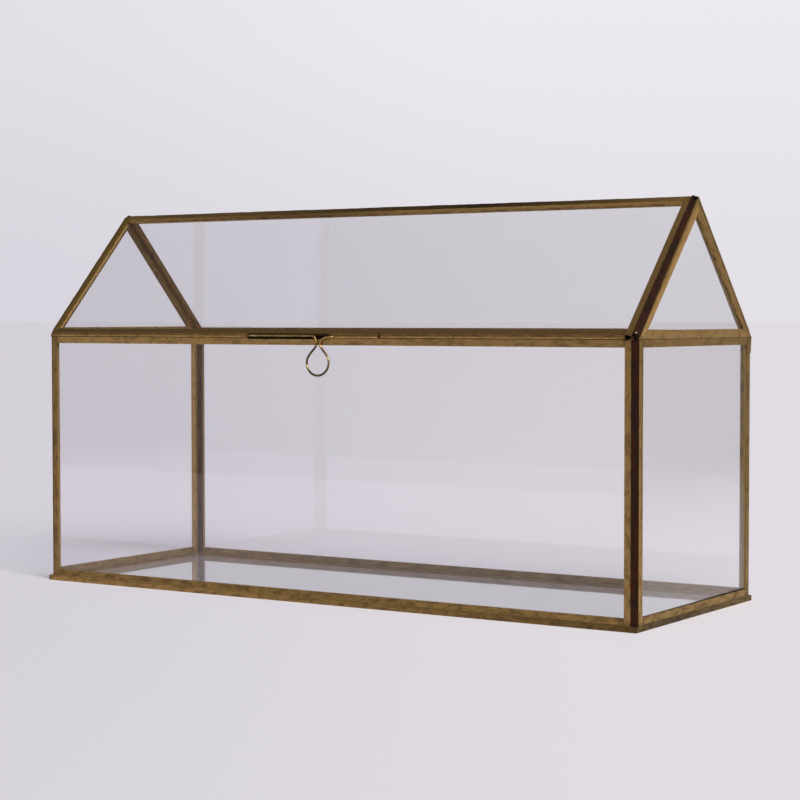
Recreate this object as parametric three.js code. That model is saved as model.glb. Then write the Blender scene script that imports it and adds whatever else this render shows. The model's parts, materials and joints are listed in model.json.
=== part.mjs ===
// Glass terrarium: a glazed box with a hinged gable lid, every pane edged in brass U channel.
// Millimetres, X to the right, Y to the back, Z up. The origin is the middle of the underside.

import * as THREE from 'three';

// Overall sizes
const length = 450;
const depth = 164.4;
const boxHeight = 168;
const roofPitchDegrees = 46;
// How far the base stands out past the walls on each side
const baseLedge = 0.3;

// Glass and the folded channel that holds its edge
const glassThickness = 2;
const glassClearance = 0.35;
const channelWall = 0.4;
const channelFoldRadius = 0.3;
const channelLip = 4.5;
const longFootLip = 4.1;
const gableFootLip = 5.3;

// Gaps between pieces, and the solder that fills the corners
const buttGap = 0.2;
const lidGap = 0.2;
const solderGap = 0.3;
const solderHollow = 0.35;
const ridgeCrown = 0.8;
const peakRise = 0.7;

// Hinge: a tube under the rear eave, with a bent rod through it
const hingeTubeRadius = 1.3;
const hingeTubeWall = 0.35;
const hingeRodRadius = 0.7;
const hingeRodBend = 1.6;
const hingeRodLeg = 10;

// Rods laid in the groove under the front eave
const eaveRodRadius = 0.7;
const openGrooveEnd = 4.6;

// Pull: one wire, two arms in the front groove and a loop that hangs between them
const pullWireRadius = 0.6;
const pullOffset = 3.15;
const pullLeftArm = 55.1;
const pullRightArm = 44.7;
const pullLeftArmLift = 0.65;
const pullSlotGap = 1.3;
const pullJoggle = 3.5;
const pullLeftShoulder = 5;
const pullRightShoulder = 8.6;
const pullNeckHalfWidth = 1.35;
const pullNeckDrop = 4.9;
const pullLoopHalfWidth = 8.4;
const pullWidestDrop = 16.2;
const pullLoopDrop = 24.4;
const pullStandOff = 0.3;
const pullLean = 1.04;

// Shares that shape the curves of the pull, as handles of cubic curves
const shoulderHandleShare = 0.6;
const flankTopHandleShare = 0.22;
const flankFootHandleShare = 0.45;
const quarterRoundShare = 0.55;

// Facets of round surfaces
const foldSegments = 2;
const seamSegments = 5;
const ridgeSegments = 4;
const rodSides = 16;
const wireSegments = 5;
const bendSteps = 6;
const flankSteps = 9;

// Sizes that follow
const roofPitch = THREE.MathUtils.degToRad(roofPitchDegrees);
const rise = Math.sin(roofPitch);
const run = Math.cos(roofPitch);
const panelThickness = glassThickness + 2 * (glassClearance + channelWall);
const paneInset = channelWall + glassClearance;
const wallFoot = panelThickness + buttGap;
const lidBottom = boxHeight + lidGap;
const wallLength = length - 2 * baseLedge;
const wallDepth = depth - 2 * baseLedge;
const frontWallWidth = wallLength - 2 * panelThickness;
const sideWallWidth = wallDepth - 2 * panelThickness;
const eaveInnerY = wallDepth / 2 - panelThickness * rise;
const slopeLength = eaveInnerY / run;
const ridgeInnerZ = lidBottom + eaveInnerY * rise / run;
const ridgeSeamTop = panelThickness * run + ridgeCrown;

// Materials, one new one for each piece
function brass() {
  return new THREE.MeshStandardMaterial({ color: 0x8c7044, roughness: 0.45, metalness: 1 });
}

function brightBrass() {
  return new THREE.MeshStandardMaterial({ color: 0xa98a4e, roughness: 0.3, metalness: 1 });
}

function darkSolder() {
  return new THREE.MeshStandardMaterial({ color: 0x36231a, roughness: 0.55, metalness: 0.8 });
}

function clearGlass() {
  const look = { color: 0xe6eceb, roughness: 0.05, metalness: 0, transparent: true, opacity: 0.3 };
  return new THREE.MeshStandardMaterial(look);
}

function addPiece(group, name, geometry, material) {
  const mesh = new THREE.Mesh(geometry, material);
  mesh.name = name;
  group.add(mesh);
  return mesh;
}

// A section drawn in X and Y is carried along X, with its own X turned to Y and its Y to Z.
function carryAlongX(section, reach, segments) {
  const geometry = new THREE.ExtrudeGeometry(section, {
    depth: reach,
    bevelEnabled: false,
    curveSegments: segments,
  });
  const across = new THREE.Vector3(0, 1, 0);
  const upward = new THREE.Vector3(0, 0, 1);
  const along = new THREE.Vector3(1, 0, 0);
  return geometry.applyMatrix4(new THREE.Matrix4().makeBasis(across, upward, along));
}

// U section: the web lies on Y = 0, the lips reach up to the lip width.
function channelSection(lip) {
  const half = panelThickness / 2;
  const slot = half - channelWall;
  const fold = channelFoldRadius;
  const shape = new THREE.Shape();
  shape.moveTo(fold - half, 0);
  shape.lineTo(half - fold, 0);
  shape.absarc(half - fold, fold, fold, -Math.PI / 2, 0, false);
  shape.lineTo(half, lip);
  shape.lineTo(slot, lip);
  shape.lineTo(slot, channelWall);
  shape.lineTo(-slot, channelWall);
  shape.lineTo(-slot, lip);
  shape.lineTo(-half, lip);
  shape.lineTo(-half, fold);
  shape.absarc(fold - half, fold, fold, Math.PI, Math.PI * 3 / 2, false);
  return shape;
}

// One length of channel on the line from start to end, with its lips to the left of the way it
// runs. A cut gives how far an end is drawn back, and how much more for each unit of height.
function channelPiece(start, end, lip, startCut, endCut) {
  const reach = start.distanceTo(end);
  const geometry = carryAlongX(channelSection(lip), reach, foldSegments);
  const place = geometry.getAttribute('position');
  for (let i = 0; i < place.count; i += 1) {
    const height = place.getZ(i);
    if (place.getX(i) < reach / 2) {
      place.setX(i, startCut.back + startCut.slope * height);
    } else {
      place.setX(i, reach - endCut.back - endCut.slope * height);
    }
  }
  const angle = Math.atan2(end.y - start.y, end.x - start.x);
  geometry.rotateY(-angle);
  geometry.translate(start.x, 0, start.y);
  return geometry;
}

function squareCut(back) {
  return { back, slope: 0 };
}

// A mitre where two channels meet at an angle, each with its own lip width.
function mitreCut(angle, lip, otherLip) {
  const slope = (Math.cos(angle) + otherLip / lip) / Math.sin(angle);
  return { back: buttGap / 2 * Math.hypot(1, slope), slope };
}

// A pane of glass from its outline in X and Z, centred on the middle of the channel.
function paneGeometry(corners) {
  const outline = new THREE.Shape(corners);
  const geometry = new THREE.ExtrudeGeometry(outline, { depth: glassThickness, bevelEnabled: false });
  geometry.rotateX(Math.PI / 2);
  geometry.translate(0, glassThickness / 2, 0);
  return geometry;
}

// A glazed rectangle that stands on Z = 0. Its corners are mitred, or its rails stop between
// its stiles. The channel along its foot may have a lip of its own.
function addRectanglePanel(group, name, width, height, sides, mitred, footLip) {
  const half = width / 2;
  const lowLeft = new THREE.Vector2(-half, 0);
  const lowRight = new THREE.Vector2(half, 0);
  const highRight = new THREE.Vector2(half, height);
  const highLeft = new THREE.Vector2(-half, height);
  const mitre = mitreCut(Math.PI / 2, channelLip, channelLip);
  const railCut = mitred ? mitre : squareCut(channelLip + buttGap);
  const stileCut = mitred ? mitre : squareCut(0);
  const runs = [
    [sides.foot, lowLeft, lowRight, railCut, footLip],
    [sides.end, lowRight, highRight, stileCut, channelLip],
    [sides.head, highRight, highLeft, railCut, channelLip],
    [sides.start, highLeft, lowLeft, stileCut, channelLip],
  ];
  for (const [side, from, to, cut, lip] of runs) {
    addPiece(group, `${name}_channel_${side}`, channelPiece(from, to, lip, cut, cut), brass());
  }
  const paneHalf = half - paneInset;
  const paneTop = height - paneInset;
  const corners = [
    new THREE.Vector2(-paneHalf, paneInset),
    new THREE.Vector2(paneHalf, paneInset),
    new THREE.Vector2(paneHalf, paneTop),
    new THREE.Vector2(-paneHalf, paneTop),
  ];
  addPiece(group, `${name}_pane`, paneGeometry(corners), clearGlass());
}

// A glazed triangle that stands on Z = 0, with its channels mitred at the three corners.
function addGablePanel(group, name, sides) {
  const half = eaveInnerY;
  const lowLeft = new THREE.Vector2(-half, 0);
  const lowRight = new THREE.Vector2(half, 0);
  const peak = new THREE.Vector2(0, half * rise / run);
  const peakAngle = Math.PI - 2 * roofPitch;
  const footCut = mitreCut(roofPitch, gableFootLip, channelLip);
  const rafterFootCut = mitreCut(roofPitch, channelLip, gableFootLip);
  const peakCut = mitreCut(peakAngle, channelLip, channelLip);
  const foot = channelPiece(lowLeft, lowRight, gableFootLip, footCut, footCut);
  const endRafter = channelPiece(lowRight, peak, channelLip, rafterFootCut, peakCut);
  const startRafter = channelPiece(peak, lowLeft, channelLip, peakCut, rafterFootCut);
  addPiece(group, `${name}_channel_foot`, foot, brass());
  addPiece(group, `${name}_channel_${sides.end}`, endRafter, brass());
  addPiece(group, `${name}_channel_${sides.start}`, startRafter, brass());
  const paneHalf = half - paneInset * (1 + run) / rise;
  const panePeak = (half * rise - paneInset) / run;
  const corners = [
    new THREE.Vector2(-paneHalf, paneInset),
    new THREE.Vector2(paneHalf, paneInset),
    new THREE.Vector2(0, panePeak),
  ];
  addPiece(group, `${name}_pane`, paneGeometry(corners), clearGlass());
}

// Solder in the open square notch between two panels that meet at their inner edges. It runs up
// Z, its outer face is a little hollow, and its top may be cut on a slope toward +Y.
function cornerSeam(reach, topSlope) {
  const outer = panelThickness;
  const middle = (outer + solderGap) / 2 - Math.SQRT2 * solderHollow;
  const shape = new THREE.Shape();
  shape.moveTo(solderGap, solderGap);
  shape.lineTo(outer, solderGap);
  shape.quadraticCurveTo(middle, middle, solderGap, outer);
  const geometry = new THREE.ExtrudeGeometry(shape, {
    depth: reach,
    bevelEnabled: false,
    curveSegments: seamSegments,
  });
  return { geometry, slopeTop: () => slopeSeamTop(geometry, reach, topSlope) };
}

// The solder ends where it meets that of the other slope, and no higher than the lump at the peak.
function slopeSeamTop(geometry, reach, topSlope) {
  const place = geometry.getAttribute('position');
  for (let i = 0; i < place.count; i += 1) {
    if (place.getZ(i) > reach / 2) {
      const out = -place.getY(i);
      const toPeak = (ridgeSeamTop + peakRise - out * run) / rise;
      place.setZ(i, reach + Math.min(topSlope * out, toPeak));
    }
  }
  return geometry;
}

// Solder along the ridge: it fills the V between the slopes and is crowned at the top.
function ridgeSeam() {
  const flankY = panelThickness * rise - solderGap * run;
  const flankZ = panelThickness * run + solderGap * rise;
  const shape = new THREE.Shape();
  shape.moveTo(0, solderGap / rise);
  shape.lineTo(flankY, flankZ);
  shape.quadraticCurveTo(0, 2 * ridgeSeamTop - flankZ, -flankY, flankZ);
  const reach = frontWallWidth - 2 * solderGap;
  const geometry = carryAlongX(shape, reach, ridgeSegments);
  geometry.translate(-reach / 2, 0, ridgeInnerZ);
  return geometry;
}

// Where a rod lies in the groove between the lid's lower edge and the top of the wall.
function grooveSeat(radius, lift) {
  const height = radius + lift;
  const outward = (radius + solderGap + height * rise) / run;
  return { y: eaveInnerY + outward, z: lidBottom + height };
}

// A route through given points, which keeps a ring at every point and none between.
class PointRoute extends THREE.Curve {
  constructor(points) {
    super();
    this.points = points;
  }

  getUtoTmapping(share) {
    return share;
  }

  getPoint(share, target = new THREE.Vector3()) {
    const last = this.points.length - 1;
    const at = Math.min(share * last, last);
    const index = Math.min(Math.floor(at), last - 1);
    return target.lerpVectors(this.points[index], this.points[index + 1], at - index);
  }

  getTangent(share, target = new THREE.Vector3()) {
    const last = this.points.length - 1;
    const index = Math.round(share * last);
    target.set(0, 0, 0);
    if (index > 0) {
      target.add(this.heading(index - 1));
    }
    if (index < last) {
      target.add(this.heading(index));
    }
    return target.normalize();
  }

  heading(index) {
    return new THREE.Vector3().subVectors(this.points[index + 1], this.points[index]).normalize();
  }
}

function bentRod(points, radius, segments) {
  const section = new THREE.Shape();
  section.absarc(0, 0, radius, 0, Math.PI * 2, false);
  return new THREE.ExtrudeGeometry(section, {
    steps: points.length - 1,
    extrudePath: new PointRoute(points),
    curveSegments: segments,
  });
}

function straightRod(fromX, toX, seat, radius) {
  const geometry = new THREE.CylinderGeometry(radius, radius, toX - fromX, rodSides);
  geometry.rotateZ(Math.PI / 2);
  geometry.translate((fromX + toX) / 2, seat.y, seat.z);
  return geometry;
}

// Hinge
const hingeSeat = grooveSeat(hingeTubeRadius, 0);
const rodCornerX = wallLength / 2 - panelThickness / 2;
const rodBendX = rodCornerX - hingeRodBend;

function hingeTube() {
  const section = new THREE.Shape();
  section.absarc(0, 0, hingeTubeRadius, 0, Math.PI * 2, false);
  const bore = new THREE.Path();
  bore.absarc(0, 0, hingeTubeRadius - hingeTubeWall, 0, Math.PI * 2, true);
  section.holes.push(bore);
  const reach = 2 * (rodBendX - solderGap);
  const geometry = carryAlongX(section, reach, rodSides / 2);
  geometry.translate(-reach / 2, hingeSeat.y, hingeSeat.z);
  return geometry;
}

// Each end of the rod turns down and leans in to lie against the solder of a rear corner.
function hingeRod() {
  const clearOfSeam = (hingeRodRadius + solderGap) * Math.SQRT2;
  const legFootY = wallDepth / 2 - panelThickness / 2 + solderGap + clearOfSeam;
  const lean = Math.atan2(hingeSeat.y - legFootY, hingeRodLeg);
  const down = new THREE.Vector3(0, -Math.sin(lean), -Math.cos(lean));
  const halfRod = (side) => {
    const outward = new THREE.Vector3(side, 0, 0);
    const centre = new THREE.Vector3(side * rodBendX, hingeSeat.y, hingeSeat.z);
    centre.addScaledVector(down, hingeRodBend);
    const points = [];
    for (let i = 0; i <= bendSteps; i += 1) {
      const turn = Math.PI / 2 * i / bendSteps;
      const point = centre.clone().addScaledVector(outward, hingeRodBend * Math.sin(turn));
      points.push(point.addScaledVector(down, -hingeRodBend * Math.cos(turn)));
    }
    const elbow = points[points.length - 1];
    points.push(elbow.clone().addScaledVector(down, hingeRodLeg));
    return points;
  };
  const points = [...halfRod(-1).reverse(), ...halfRod(1)];
  return bentRod(points, hingeRodRadius, rodSides / 2);
}

// Pull
const pullSeat = grooveSeat(pullWireRadius, 0);

// How far out the hanging wire is at a given height: it leans out as it hangs.
function pullFrontY(z) {
  const drop = (pullSeat.z - z) / pullLoopDrop;
  return -(wallDepth / 2 + pullStandOff + pullWireRadius + pullLean * drop);
}

function pullPoint(side, out, z) {
  return new THREE.Vector3(pullOffset + side * out, pullFrontY(z), z);
}

// Half of the wire, from the end of its arm to the foot of the loop.
function pullHalf(side, arm, shoulder, lift) {
  const seat = grooveSeat(pullWireRadius, lift);
  const neckZ = pullSeat.z - pullNeckDrop;
  const wideZ = pullSeat.z - pullWidestDrop;
  const footZ = pullSeat.z - pullLoopDrop;
  const turnIn = shoulderHandleShare * (shoulder - pullNeckHalfWidth);
  const turnDown = shoulderHandleShare * (seat.z - neckZ);
  const flank = neckZ - wideZ;
  const inGroove = (out) => new THREE.Vector3(pullOffset + side * out, -seat.y, seat.z);
  const joggle = new THREE.CubicBezierCurve3(
    inGroove(shoulder + pullJoggle),
    inGroove(shoulder + pullJoggle / 2),
    pullPoint(side, shoulder + pullJoggle / 2, seat.z),
    pullPoint(side, shoulder, seat.z),
  );
  const bend = new THREE.CubicBezierCurve3(
    pullPoint(side, shoulder, seat.z),
    pullPoint(side, shoulder - turnIn, seat.z),
    pullPoint(side, pullNeckHalfWidth, neckZ + turnDown),
    pullPoint(side, pullNeckHalfWidth, neckZ),
  );
  const flare = new THREE.CubicBezierCurve3(
    pullPoint(side, pullNeckHalfWidth, neckZ),
    pullPoint(side, pullNeckHalfWidth, neckZ - flankTopHandleShare * flank),
    pullPoint(side, pullLoopHalfWidth, wideZ + flankFootHandleShare * flank),
    pullPoint(side, pullLoopHalfWidth, wideZ),
  );
  const round = new THREE.CubicBezierCurve3(
    pullPoint(side, pullLoopHalfWidth, wideZ),
    pullPoint(side, pullLoopHalfWidth, wideZ + quarterRoundShare * (footZ - wideZ)),
    pullPoint(side, quarterRoundShare * pullLoopHalfWidth, footZ),
    pullPoint(side, 0, footZ),
  );
  return [
    inGroove(arm),
    ...joggle.getPoints(bendSteps),
    ...bend.getPoints(bendSteps).slice(1),
    ...flare.getPoints(flankSteps).slice(1),
    ...round.getPoints(flankSteps).slice(1),
  ];
}

function pullWire() {
  const left = pullHalf(-1, pullLeftArm, pullLeftShoulder, pullLeftArmLift);
  const right = pullHalf(1, pullRightArm, pullRightShoulder, 0);
  const points = [...left, ...right.reverse().slice(1)];
  return bentRod(points, pullWireRadius, wireSegments);
}

// The box: a base panel laid flat and four walls that stand on it
function makeBox() {
  const box = new THREE.Group();

  const base = new THREE.Group();
  base.rotation.x = -Math.PI / 2;
  base.position.set(0, -depth / 2, panelThickness / 2);
  const baseSides = { foot: 'front', end: 'right', head: 'back', start: 'left' };
  addRectanglePanel(base, 'base', length, depth, baseSides, true, channelLip);
  box.add(base);

  const wallHeight = boxHeight - wallFoot;
  const walls = [
    { name: 'front_wall', turn: 0, start: 'left', end: 'right' },
    { name: 'right_wall', turn: 1, start: 'front', end: 'back' },
    { name: 'back_wall', turn: 2, start: 'right', end: 'left' },
    { name: 'left_wall', turn: 3, start: 'back', end: 'front' },
  ];
  for (const wall of walls) {
    const turned = new THREE.Group();
    turned.rotation.z = wall.turn * Math.PI / 2;
    const isLong = wall.turn % 2 === 0;
    const width = isLong ? frontWallWidth : sideWallWidth;
    const out = isLong ? wallDepth : wallLength;
    const footLip = isLong ? longFootLip : channelLip;
    const panel = new THREE.Group();
    panel.position.set(0, -(out - panelThickness) / 2, wallFoot);
    const sides = { foot: 'bottom', end: wall.end, head: 'top', start: wall.start };
    addRectanglePanel(panel, wall.name, width, wallHeight, sides, false, footLip);
    turned.add(panel);
    box.add(turned);
  }

  const corners = [
    { name: 'back_right', turn: 0, x: 1, y: 1 },
    { name: 'back_left', turn: 1, x: -1, y: 1 },
    { name: 'front_left', turn: 2, x: -1, y: -1 },
    { name: 'front_right', turn: 3, x: 1, y: -1 },
  ];
  for (const corner of corners) {
    const seam = cornerSeam(wallHeight, 0);
    const mesh = addPiece(box, `${corner.name}_corner_seam`, seam.geometry, darkSolder());
    mesh.rotation.z = corner.turn * Math.PI / 2;
    mesh.position.set(corner.x * frontWallWidth / 2, corner.y * sideWallWidth / 2, wallFoot);
  }

  addPiece(box, 'hinge_rod', hingeRod(), brightBrass());
  return box;
}

// The lid: two slopes, two gables, the seams between them, and what lies under its eaves
function makeLid() {
  const lid = new THREE.Group();

  const slopes = [
    { name: 'front', turn: 0, start: 'left', end: 'right' },
    { name: 'back', turn: 2, start: 'right', end: 'left' },
  ];
  for (const slope of slopes) {
    const turned = new THREE.Group();
    turned.rotation.z = slope.turn * Math.PI / 2;
    const panel = new THREE.Group();
    panel.rotation.x = roofPitch - Math.PI / 2;
    const middle = panelThickness / 2;
    panel.position.set(0, -eaveInnerY - middle * rise, lidBottom + middle * run);
    const sides = { foot: 'eave', end: slope.end, head: 'ridge', start: slope.start };
    const name = `${slope.name}_slope`;
    addRectanglePanel(panel, name, frontWallWidth, slopeLength, sides, false, longFootLip);
    const seams = [
      { side: slope.end, turn: -Math.PI / 2, x: frontWallWidth / 2 },
      { side: slope.start, turn: Math.PI, x: -frontWallWidth / 2 },
    ];
    for (const seam of seams) {
      const reach = slopeLength - solderGap / 2 / run;
      const solder = cornerSeam(reach, rise / run);
      solder.geometry.rotateZ(seam.turn);
      const seamName = `${slope.name}_${seam.side}_rafter_seam`;
      const mesh = addPiece(panel, seamName, solder.slopeTop(), darkSolder());
      mesh.position.set(seam.x, middle, 0);
    }
    turned.add(panel);
    lid.add(turned);
  }

  const gables = [
    { name: 'right_gable', turn: 1, start: 'front', end: 'back' },
    { name: 'left_gable', turn: 3, start: 'back', end: 'front' },
  ];
  for (const gable of gables) {
    const turned = new THREE.Group();
    turned.rotation.z = gable.turn * Math.PI / 2;
    const panel = new THREE.Group();
    panel.position.set(0, -(wallLength - panelThickness) / 2, lidBottom);
    addGablePanel(panel, gable.name, { start: gable.start, end: gable.end });
    turned.add(panel);
    lid.add(turned);
  }

  addPiece(lid, 'ridge_seam', ridgeSeam(), darkSolder());
  addPiece(lid, 'hinge_tube', hingeTube(), brass());
  addPiece(lid, 'pull_wire', pullWire(), brightBrass());

  const seat = grooveSeat(eaveRodRadius, 0);
  const frontSeat = { y: -seat.y, z: seat.z };
  const farLeft = solderGap - frontWallWidth / 2;
  const slotLeft = pullOffset - pullLeftArm - pullSlotGap;
  const slotRight = pullOffset + pullRightArm + pullSlotGap;
  const farRight = frontWallWidth / 2 - openGrooveEnd;
  const leftRod = straightRod(farLeft, slotLeft, frontSeat, eaveRodRadius);
  const rightRod = straightRod(slotRight, farRight, frontSeat, eaveRodRadius);
  addPiece(lid, 'eave_rod_left', leftRod, brass());
  addPiece(lid, 'eave_rod_right', rightRod, brass());
  return lid;
}

const terrarium = new THREE.Group();
terrarium.add(makeBox());
terrarium.add(makeLid());

export default terrarium;
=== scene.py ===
# %% [markdown]
# # A glass terrarium
# The real object is a long glass box with a gable lid. Every pane is edged in a thin folded brass
# channel, and the panels are soldered to each other along their inner edges. This lesson loads the
# solid parts as a fixed frame and dresses them: the glass keeps its exact solids, and every metal
# part is formed again with the marks of hand work.

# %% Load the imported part
import json
import math

import bmesh
import bpy
from mathutils import Euler, Matrix, Vector, noise

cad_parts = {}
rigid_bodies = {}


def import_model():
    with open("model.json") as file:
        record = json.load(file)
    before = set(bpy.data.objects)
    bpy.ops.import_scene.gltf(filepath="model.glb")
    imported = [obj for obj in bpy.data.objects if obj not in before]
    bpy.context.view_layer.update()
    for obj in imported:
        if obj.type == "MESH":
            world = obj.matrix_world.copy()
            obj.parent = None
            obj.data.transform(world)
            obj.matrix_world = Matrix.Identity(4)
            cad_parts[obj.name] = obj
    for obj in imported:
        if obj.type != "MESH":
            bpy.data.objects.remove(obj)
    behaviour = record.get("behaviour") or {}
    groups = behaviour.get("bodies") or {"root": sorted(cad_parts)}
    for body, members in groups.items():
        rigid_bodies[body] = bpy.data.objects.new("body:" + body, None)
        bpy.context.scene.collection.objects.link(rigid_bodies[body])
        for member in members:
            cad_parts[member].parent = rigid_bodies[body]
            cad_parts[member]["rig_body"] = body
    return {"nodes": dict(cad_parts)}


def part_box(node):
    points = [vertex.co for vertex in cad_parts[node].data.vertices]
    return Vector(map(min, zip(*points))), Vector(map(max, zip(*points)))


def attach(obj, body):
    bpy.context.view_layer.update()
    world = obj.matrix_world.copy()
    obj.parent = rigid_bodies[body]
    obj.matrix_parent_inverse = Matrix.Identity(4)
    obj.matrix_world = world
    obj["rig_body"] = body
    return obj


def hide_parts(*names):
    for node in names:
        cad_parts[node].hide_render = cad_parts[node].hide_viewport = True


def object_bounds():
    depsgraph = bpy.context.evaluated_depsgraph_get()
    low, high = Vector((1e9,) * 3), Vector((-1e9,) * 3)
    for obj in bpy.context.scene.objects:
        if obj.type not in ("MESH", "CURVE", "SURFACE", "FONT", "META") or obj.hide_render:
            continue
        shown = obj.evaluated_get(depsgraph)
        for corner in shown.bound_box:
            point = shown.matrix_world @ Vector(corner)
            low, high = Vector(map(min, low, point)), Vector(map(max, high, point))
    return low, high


for leftover in list(bpy.data.objects):
    bpy.data.objects.remove(leftover)

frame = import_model()
cad_low, cad_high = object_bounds()
scene = bpy.context.scene
mm = 0.001

# %% [markdown]
# ## The camera
# A camera could be placed by eye, but straight brass edges show every error. This one was fitted
# to the corners and edges of the box, so it is given as a direction, a place and a focal length.
# It was held a hair off level. The sensor is square in use, because the picture is as wide as high.

# %% Camera
view_azimuth = math.radians(32.937)
view_pitch = math.radians(2.307)
view_roll = math.radians(-0.043)
camera_data = bpy.data.cameras.new("photo_camera")
camera_data.sensor_width = 36.0
camera_data.lens = 92.457
camera = bpy.data.objects.new("photo_camera", camera_data)
camera.location = (0.74724, -1.13691, 0.18099)
turned = Euler((math.pi / 2 - view_pitch, 0.0, view_azimuth)).to_matrix()
camera.rotation_euler = (turned @ Matrix.Rotation(view_roll, 3, "Z")).to_euler()
scene.collection.objects.link(camera)
scene.camera = camera
print("camera:", round(camera_data.lens, 2), "mm lens")

# %% [markdown]
# ## Small helpers for shader nodes
# A material is a small network. Writing it node by node is long, so one helper makes a node, sets
# its options, and fills its inputs: a number or colour is set on the socket, and another node's
# output is linked to it. Colours are written as they look on a screen, from 0 to 255.


# %% Node helpers
def put(tree, kind, inputs=None, **options):
    node = tree.nodes.new(kind)
    for name, value in options.items():
        setattr(node, name, value)
    for name, value in (inputs or {}).items():
        socket = node.inputs[name]
        if isinstance(value, bpy.types.NodeSocket):
            tree.links.new(value, socket)
        else:
            socket.default_value = value
    return node


def calculate(tree, operation, first, second=0.0, third=0.0, clamp=False):
    values = {0: first, 1: second, 2: third}
    return put(tree, "ShaderNodeMath", values, operation=operation, use_clamp=clamp).outputs[0]


def times(tree, first, second):
    return calculate(tree, "MULTIPLY", first, second)


def remap(tree, value, from_low, from_high, to_low=0.0, to_high=1.0):
    inputs = {"Value": value, "From Min": from_low, "From Max": from_high}
    inputs.update({"To Min": to_low, "To Max": to_high})
    node = put(tree, "ShaderNodeMapRange", inputs, interpolation_type="SMOOTHSTEP")
    return node.outputs["Result"]


def blend_colours(tree, factor, first, second, mode="MIX"):
    inputs = {0: factor, 6: first, 7: second}
    return put(tree, "ShaderNodeMix", inputs, data_type="RGBA", blend_type=mode).outputs[2]


def cloudy(tree, vector, scale, detail, roughness=0.5, distortion=0.0):
    inputs = {"Vector": vector, "Scale": scale, "Detail": detail, "Roughness": roughness}
    inputs["Distortion"] = distortion
    return put(tree, "ShaderNodeTexNoise", inputs).outputs["Fac"]


def tone(red, green, blue):
    def linear(level):
        share = level / 255
        return share / 12.92 if share <= 0.04045 else ((share + 0.055) / 1.055) ** 2.4

    return (linear(red), linear(green), linear(blue), 1.0)


print("brass tone:", [round(part, 3) for part in tone(189, 153, 95)])

# %% [markdown]
# ## The studio
# The brass tells where the light is: its upright faces are warm and its roof faces are nearly
# black, so the room is pale round the horizon and dark overhead. A world whose strength falls
# with height gives that. Camera rays and rays that pass through glass see the pale backdrop
# instead, also those that the base pane mirrors toward it, which is how a plain background is made
# without more light on the object.

# %% World
lens_right = Vector((math.cos(view_azimuth), math.sin(view_azimuth), 0.0))
lens_forward = Vector((-math.sin(view_azimuth), math.cos(view_azimuth), 0.0))


def paper_with_painted_falloff(tree, facing, height):
    """The colour of the paper backdrop, with painted light falloff: brighter to the right and upward."""
    toward = put(tree, "ShaderNodeVectorMath", {0: facing, 1: lens_right}, operation="DOT_PRODUCT")
    across = remap(tree, toward.outputs["Value"], -0.24, 0.16)
    low = blend_colours(tree, across, tone(215, 212, 221), tone(227, 224, 230))
    higher_across = remap(tree, toward.outputs["Value"], -0.24, 0.06)
    high = blend_colours(tree, higher_across, tone(226, 223, 230), tone(236, 234, 240))
    return blend_colours(tree, remap(tree, height, 0.0, 0.16), low, high)


world = bpy.data.worlds.new("studio")
scene.world = world
world.use_nodes = True
tree = world.node_tree
tree.nodes.clear()
facing = put(tree, "ShaderNodeTexCoord").outputs["Generated"]
parts = put(tree, "ShaderNodeSeparateXYZ", {0: facing})
overhead = remap(tree, parts.outputs["Z"], 0.15, 0.75)
toward_back = calculate(tree, "ADD", times(tree, parts.outputs["X"], 0.55),
                        times(tree, parts.outputs["Y"], 0.83))
horizon = remap(tree, toward_back, -0.9, 0.9, 0.32, 0.42)
room_strength = put(tree, "ShaderNodeMix", {0: overhead, 2: horizon, 3: 0.12}).outputs[0]
room = put(tree, "ShaderNodeBackground", {"Color": (1.0, 0.98, 0.96, 1.0), "Strength": room_strength})
pale = put(tree, "ShaderNodeBackground", {"Color": paper_with_painted_falloff(tree, facing, parts.outputs["Z"])})
rays = put(tree, "ShaderNodeLightPath").outputs
tree.links.new(remap(tree, rays["Glossy Depth"], 0.0, 1.0, 1.0, 0.86), pale.inputs["Strength"])
behind = put(tree, "ShaderNodeVectorMath", {0: facing, 1: lens_forward}, operation="DOT_PRODUCT")
elsewhere = remap(tree, behind.outputs["Value"], 0.9, 0.7)
mirrored = calculate(tree, "MINIMUM", rays["Glossy Depth"], 1.0)
bounces = calculate(tree, "ADD", rays["Diffuse Depth"], times(tree, mirrored, elsewhere))
straight = calculate(tree, "SUBTRACT", 1.0, bounces, clamp=True)
through_glass = times(tree, rays["Is Transmission Ray"], straight)
sees_backdrop = calculate(tree, "MAXIMUM", rays["Is Camera Ray"], through_glass)
shown = put(tree, "ShaderNodeMixShader", {0: sees_backdrop, 1: room.outputs[0], 2: pale.outputs[0]})
put(tree, "ShaderNodeOutputWorld", {"Surface": shown.outputs[0]})
print("world:", len(tree.nodes), "nodes")

# %% [markdown]
# ## The key light and the floor
# The shadow lies behind the box and to its left, and its edge is soft. A sun with a wide angle
# lights every part alike and gives one soft shadow, where an area lamp would fade with distance.
# The floor is a pale sheet with a faint paper tooth and painted light falloff. In mirrored rays it is
# painted dim grey to the right, a painted reflection of the dim room beyond.

# %% Key light
sun_data = bpy.data.lights.new("soft_key", "SUN")
sun_data.energy = 3.9
sun_data.angle = math.radians(40)
sun_data.color = (1.0, 0.99, 0.99)
sun = bpy.data.objects.new("soft_key", sun_data)
sun.rotation_euler = Vector((0.60, -0.46, 0.66)).to_track_quat("Z", "Y").to_euler()
sun.visible_transmission = False
scene.collection.objects.link(sun)
print("key light:", round(math.degrees(sun_data.angle)), "degrees wide")

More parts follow.
